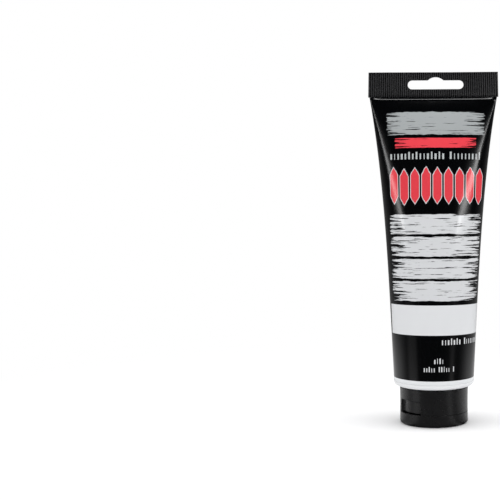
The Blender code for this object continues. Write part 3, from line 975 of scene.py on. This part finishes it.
def make_floor():
    """A pale floor. The camera sees it turn plain white away from the tube. Reflections see it
    dark, but for the back and two pools at the sides, which fade with distance."""
    mesh = bpy.data.meshes.new("floor")
    shape = bmesh.new()
    bmesh.ops.create_circle(shape, cap_ends=True, radius=FLOOR_RADIUS, segments=96)
    shape.to_mesh(mesh)
    shape.free()
    floor = mesh_object("floor", mesh)
    g = Graph("floor_finish")
    x, y, _ = g.split(g.object_place())
    away = g.math("SQRT", g.add(g.mul(x, x), g.mul(y, y)))
    path = g.node("ShaderNodeLightPath")
    reach = g.add(away, 0.001)
    turn = g.math("DIVIDE", x, reach)
    side = g.step(-0.45, 0.3, g.math("DIVIDE", y, reach))
    right, left = (g.band(turn, low, high, 0.05) for low, high in SIDE_POOLS)
    lit = g.either(side, g.mul(g.either(right, left), 0.75))
    fading = g.sub(0.66, g.mul(g.step(0.08, 0.6, away), 0.45))
    dark = g.mul(path.outputs["Is Glossy Ray"], g.sub(0.97, g.mul(lit, fading)))
    shade = g.mix(dark, FLOOR_COLOUR, (0.0, 0.0, 0.0))
    g.finish(Base_Color=shade)
    g.shader.inputs["Roughness"].default_value = 0.9
    g.shader.inputs["Specular IOR Level"].default_value = 0.1
    glow = g.node("ShaderNodeEmission")
    blend = g.node("ShaderNodeMixShader")
    bare = g.step(FLOOR_BARE_FROM, FLOOR_BARE_BY, away)
    g.feed(blend.inputs[0], g.mul(bare, path.outputs["Is Camera Ray"]))
    g.tree.links.new(g.shader.outputs[0], blend.inputs[1])
    g.tree.links.new(glow.outputs[0], blend.inputs[2])
    g.tree.links.new(blend.outputs[0], g.tree.nodes["Material Output"].inputs[0])
    put_on(floor, g.material)


def add_ramp(nodes, start_end, values):
    """A smooth change from the first value to the second between start and end."""
    ramp = nodes.new("ShaderNodeMapRange")
    ramp.interpolation_type = "SMOOTHSTEP"
    ramp.inputs["From Min"].default_value, ramp.inputs["From Max"].default_value = start_end
    ramp.inputs["To Min"].default_value, ramp.inputs["To Max"].default_value = values
    return ramp


def make_world():
    """Even light on every side, white to the camera. Reflections see a dark studio in front and
    overhead, which grows lighter behind the tube."""
    world = bpy.data.worlds.new("studio")
    bpy.context.scene.world = world
    world.use_nodes = True
    nodes, links = world.node_tree.nodes, world.node_tree.links
    background = nodes["Background"]
    background.inputs["Color"].default_value = (1.0, 1.0, 1.0, 1.0)
    place = nodes.new("ShaderNodeTexCoord")
    split = nodes.new("ShaderNodeSeparateXYZ")
    behind = add_ramp(nodes, (-0.3, 0.8), (REFLECTED_FRONT, REFLECTED_BACK))
    low = add_ramp(nodes, (0.25, 0.6), (1.0, 0.0))
    both = nodes.new("ShaderNodeMath")
    both.operation = "MULTIPLY"
    path = nodes.new("ShaderNodeLightPath")
    mirrored = nodes.new("ShaderNodeMix")
    mirrored.inputs["A"].default_value = AMBIENT
    seen = nodes.new("ShaderNodeMix")
    seen.inputs["B"].default_value = 1.0
    links.new(place.outputs["Generated"], split.inputs[0])
    links.new(split.outputs["Y"], behind.inputs["Value"])
    links.new(path.outputs["Is Glossy Ray"], mirrored.inputs["Factor"])
    links.new(split.outputs["Z"], low.inputs["Value"])
    links.new(behind.outputs["Result"], both.inputs[0])
    links.new(low.outputs["Result"], both.inputs[1])
    links.new(both.outputs[0], mirrored.inputs["B"])
    links.new(path.outputs["Is Camera Ray"], seen.inputs["Factor"])
    links.new(mirrored.outputs["Result"], seen.inputs["A"])
    links.new(seen.outputs["Result"], background.inputs["Strength"])


def add_softbox(name, azimuth, elevation, distance, width, height, power, tilt=0.0):
    """A soft panel light aimed at the tube. Azimuth 0 is in front and grows towards +X."""
    light = bpy.data.lights.new(name, "AREA")
    light.shape = "RECTANGLE"
    light.size, light.size_y = width, height
    light.energy = power
    item = bpy.data.objects.new(name, light)
    bpy.context.scene.collection.objects.link(item)
    turn, rise = math.radians(azimuth), math.radians(elevation)
    offset = Vector(
        (math.sin(turn) * math.cos(rise), -math.cos(turn) * math.cos(rise), math.sin(rise))
    )
    item.location = LIGHT_AIM + distance * offset
    aimed = (-offset).to_track_quat("-Z", "Y").to_matrix().to_4x4()
    item.rotation_euler = (aimed @ Matrix.Rotation(math.radians(tilt), 4, "Z")).to_euler()


def make_camera():
    camera = bpy.data.cameras.new("camera")
    camera.sensor_width = 36.0
    camera.lens = CAMERA_LENS
    camera.shift_x = CAMERA_SHIFT_X
    camera.shift_y = CAMERA_SHIFT_Y
    item = bpy.data.objects.new("camera", camera)
    bpy.context.scene.collection.objects.link(item)
    side = math.radians(CAMERA_AZIMUTH)
    item.location = (
        CAMERA_DISTANCE * math.sin(side), -CAMERA_DISTANCE * math.cos(side), CAMERA_HEIGHT
    )
    pitch = math.radians(90.0 - CAMERA_PITCH)
    item.rotation_euler = (
        Matrix.Rotation(side - math.radians(CAMERA_YAW), 4, "Z")
        @ Matrix.Rotation(pitch, 4, "X")
        @ Matrix.Rotation(math.radians(CAMERA_ROLL), 4, "Z")
    ).to_euler()
    bpy.context.scene.camera = item


def main():
    sleeve = make_sleeve()
    crimp = make_crimp()
    head = make_head()
    base = make_cap_base()
    lid = make_lid()
    strap = make_hinge_strap()

    put_print_on(sleeve)
    put_on(crimp, make_crimp_material())
    put_on(head, make_head_material())
    cap_finish = make_moulded_material("cap_finish", CAP_BLACK, CAP_BLACK_TINT, 0.27, 0.45)
    put_on(base, cap_finish)
    put_on(lid, cap_finish)
    put_on(strap, make_moulded_material("web_finish", CAP_BLACK, CAP_BLACK_TINT, 0.42, 0.4))
    put_on(frame["nodes"]["foil_seal"], make_foil_material())
    put_on(frame["nodes"]["paint_fill"], make_paint_material())

    make_floor()
    make_world()
    add_softbox("left_softbox", -63.0, 7.5, 1.1, 0.46, 0.07, 0.75, -10.0)
    add_softbox("right_softbox", 53.0, 9.3, 1.1, 0.5, 0.08, 1.25, 10.0)
    add_softbox("key_softbox", 0.0, 89.0, 1.0, 0.9, 0.32, 6.0)
    make_camera()
    bpy.context.scene.view_settings.view_transform = "Standard"


main()
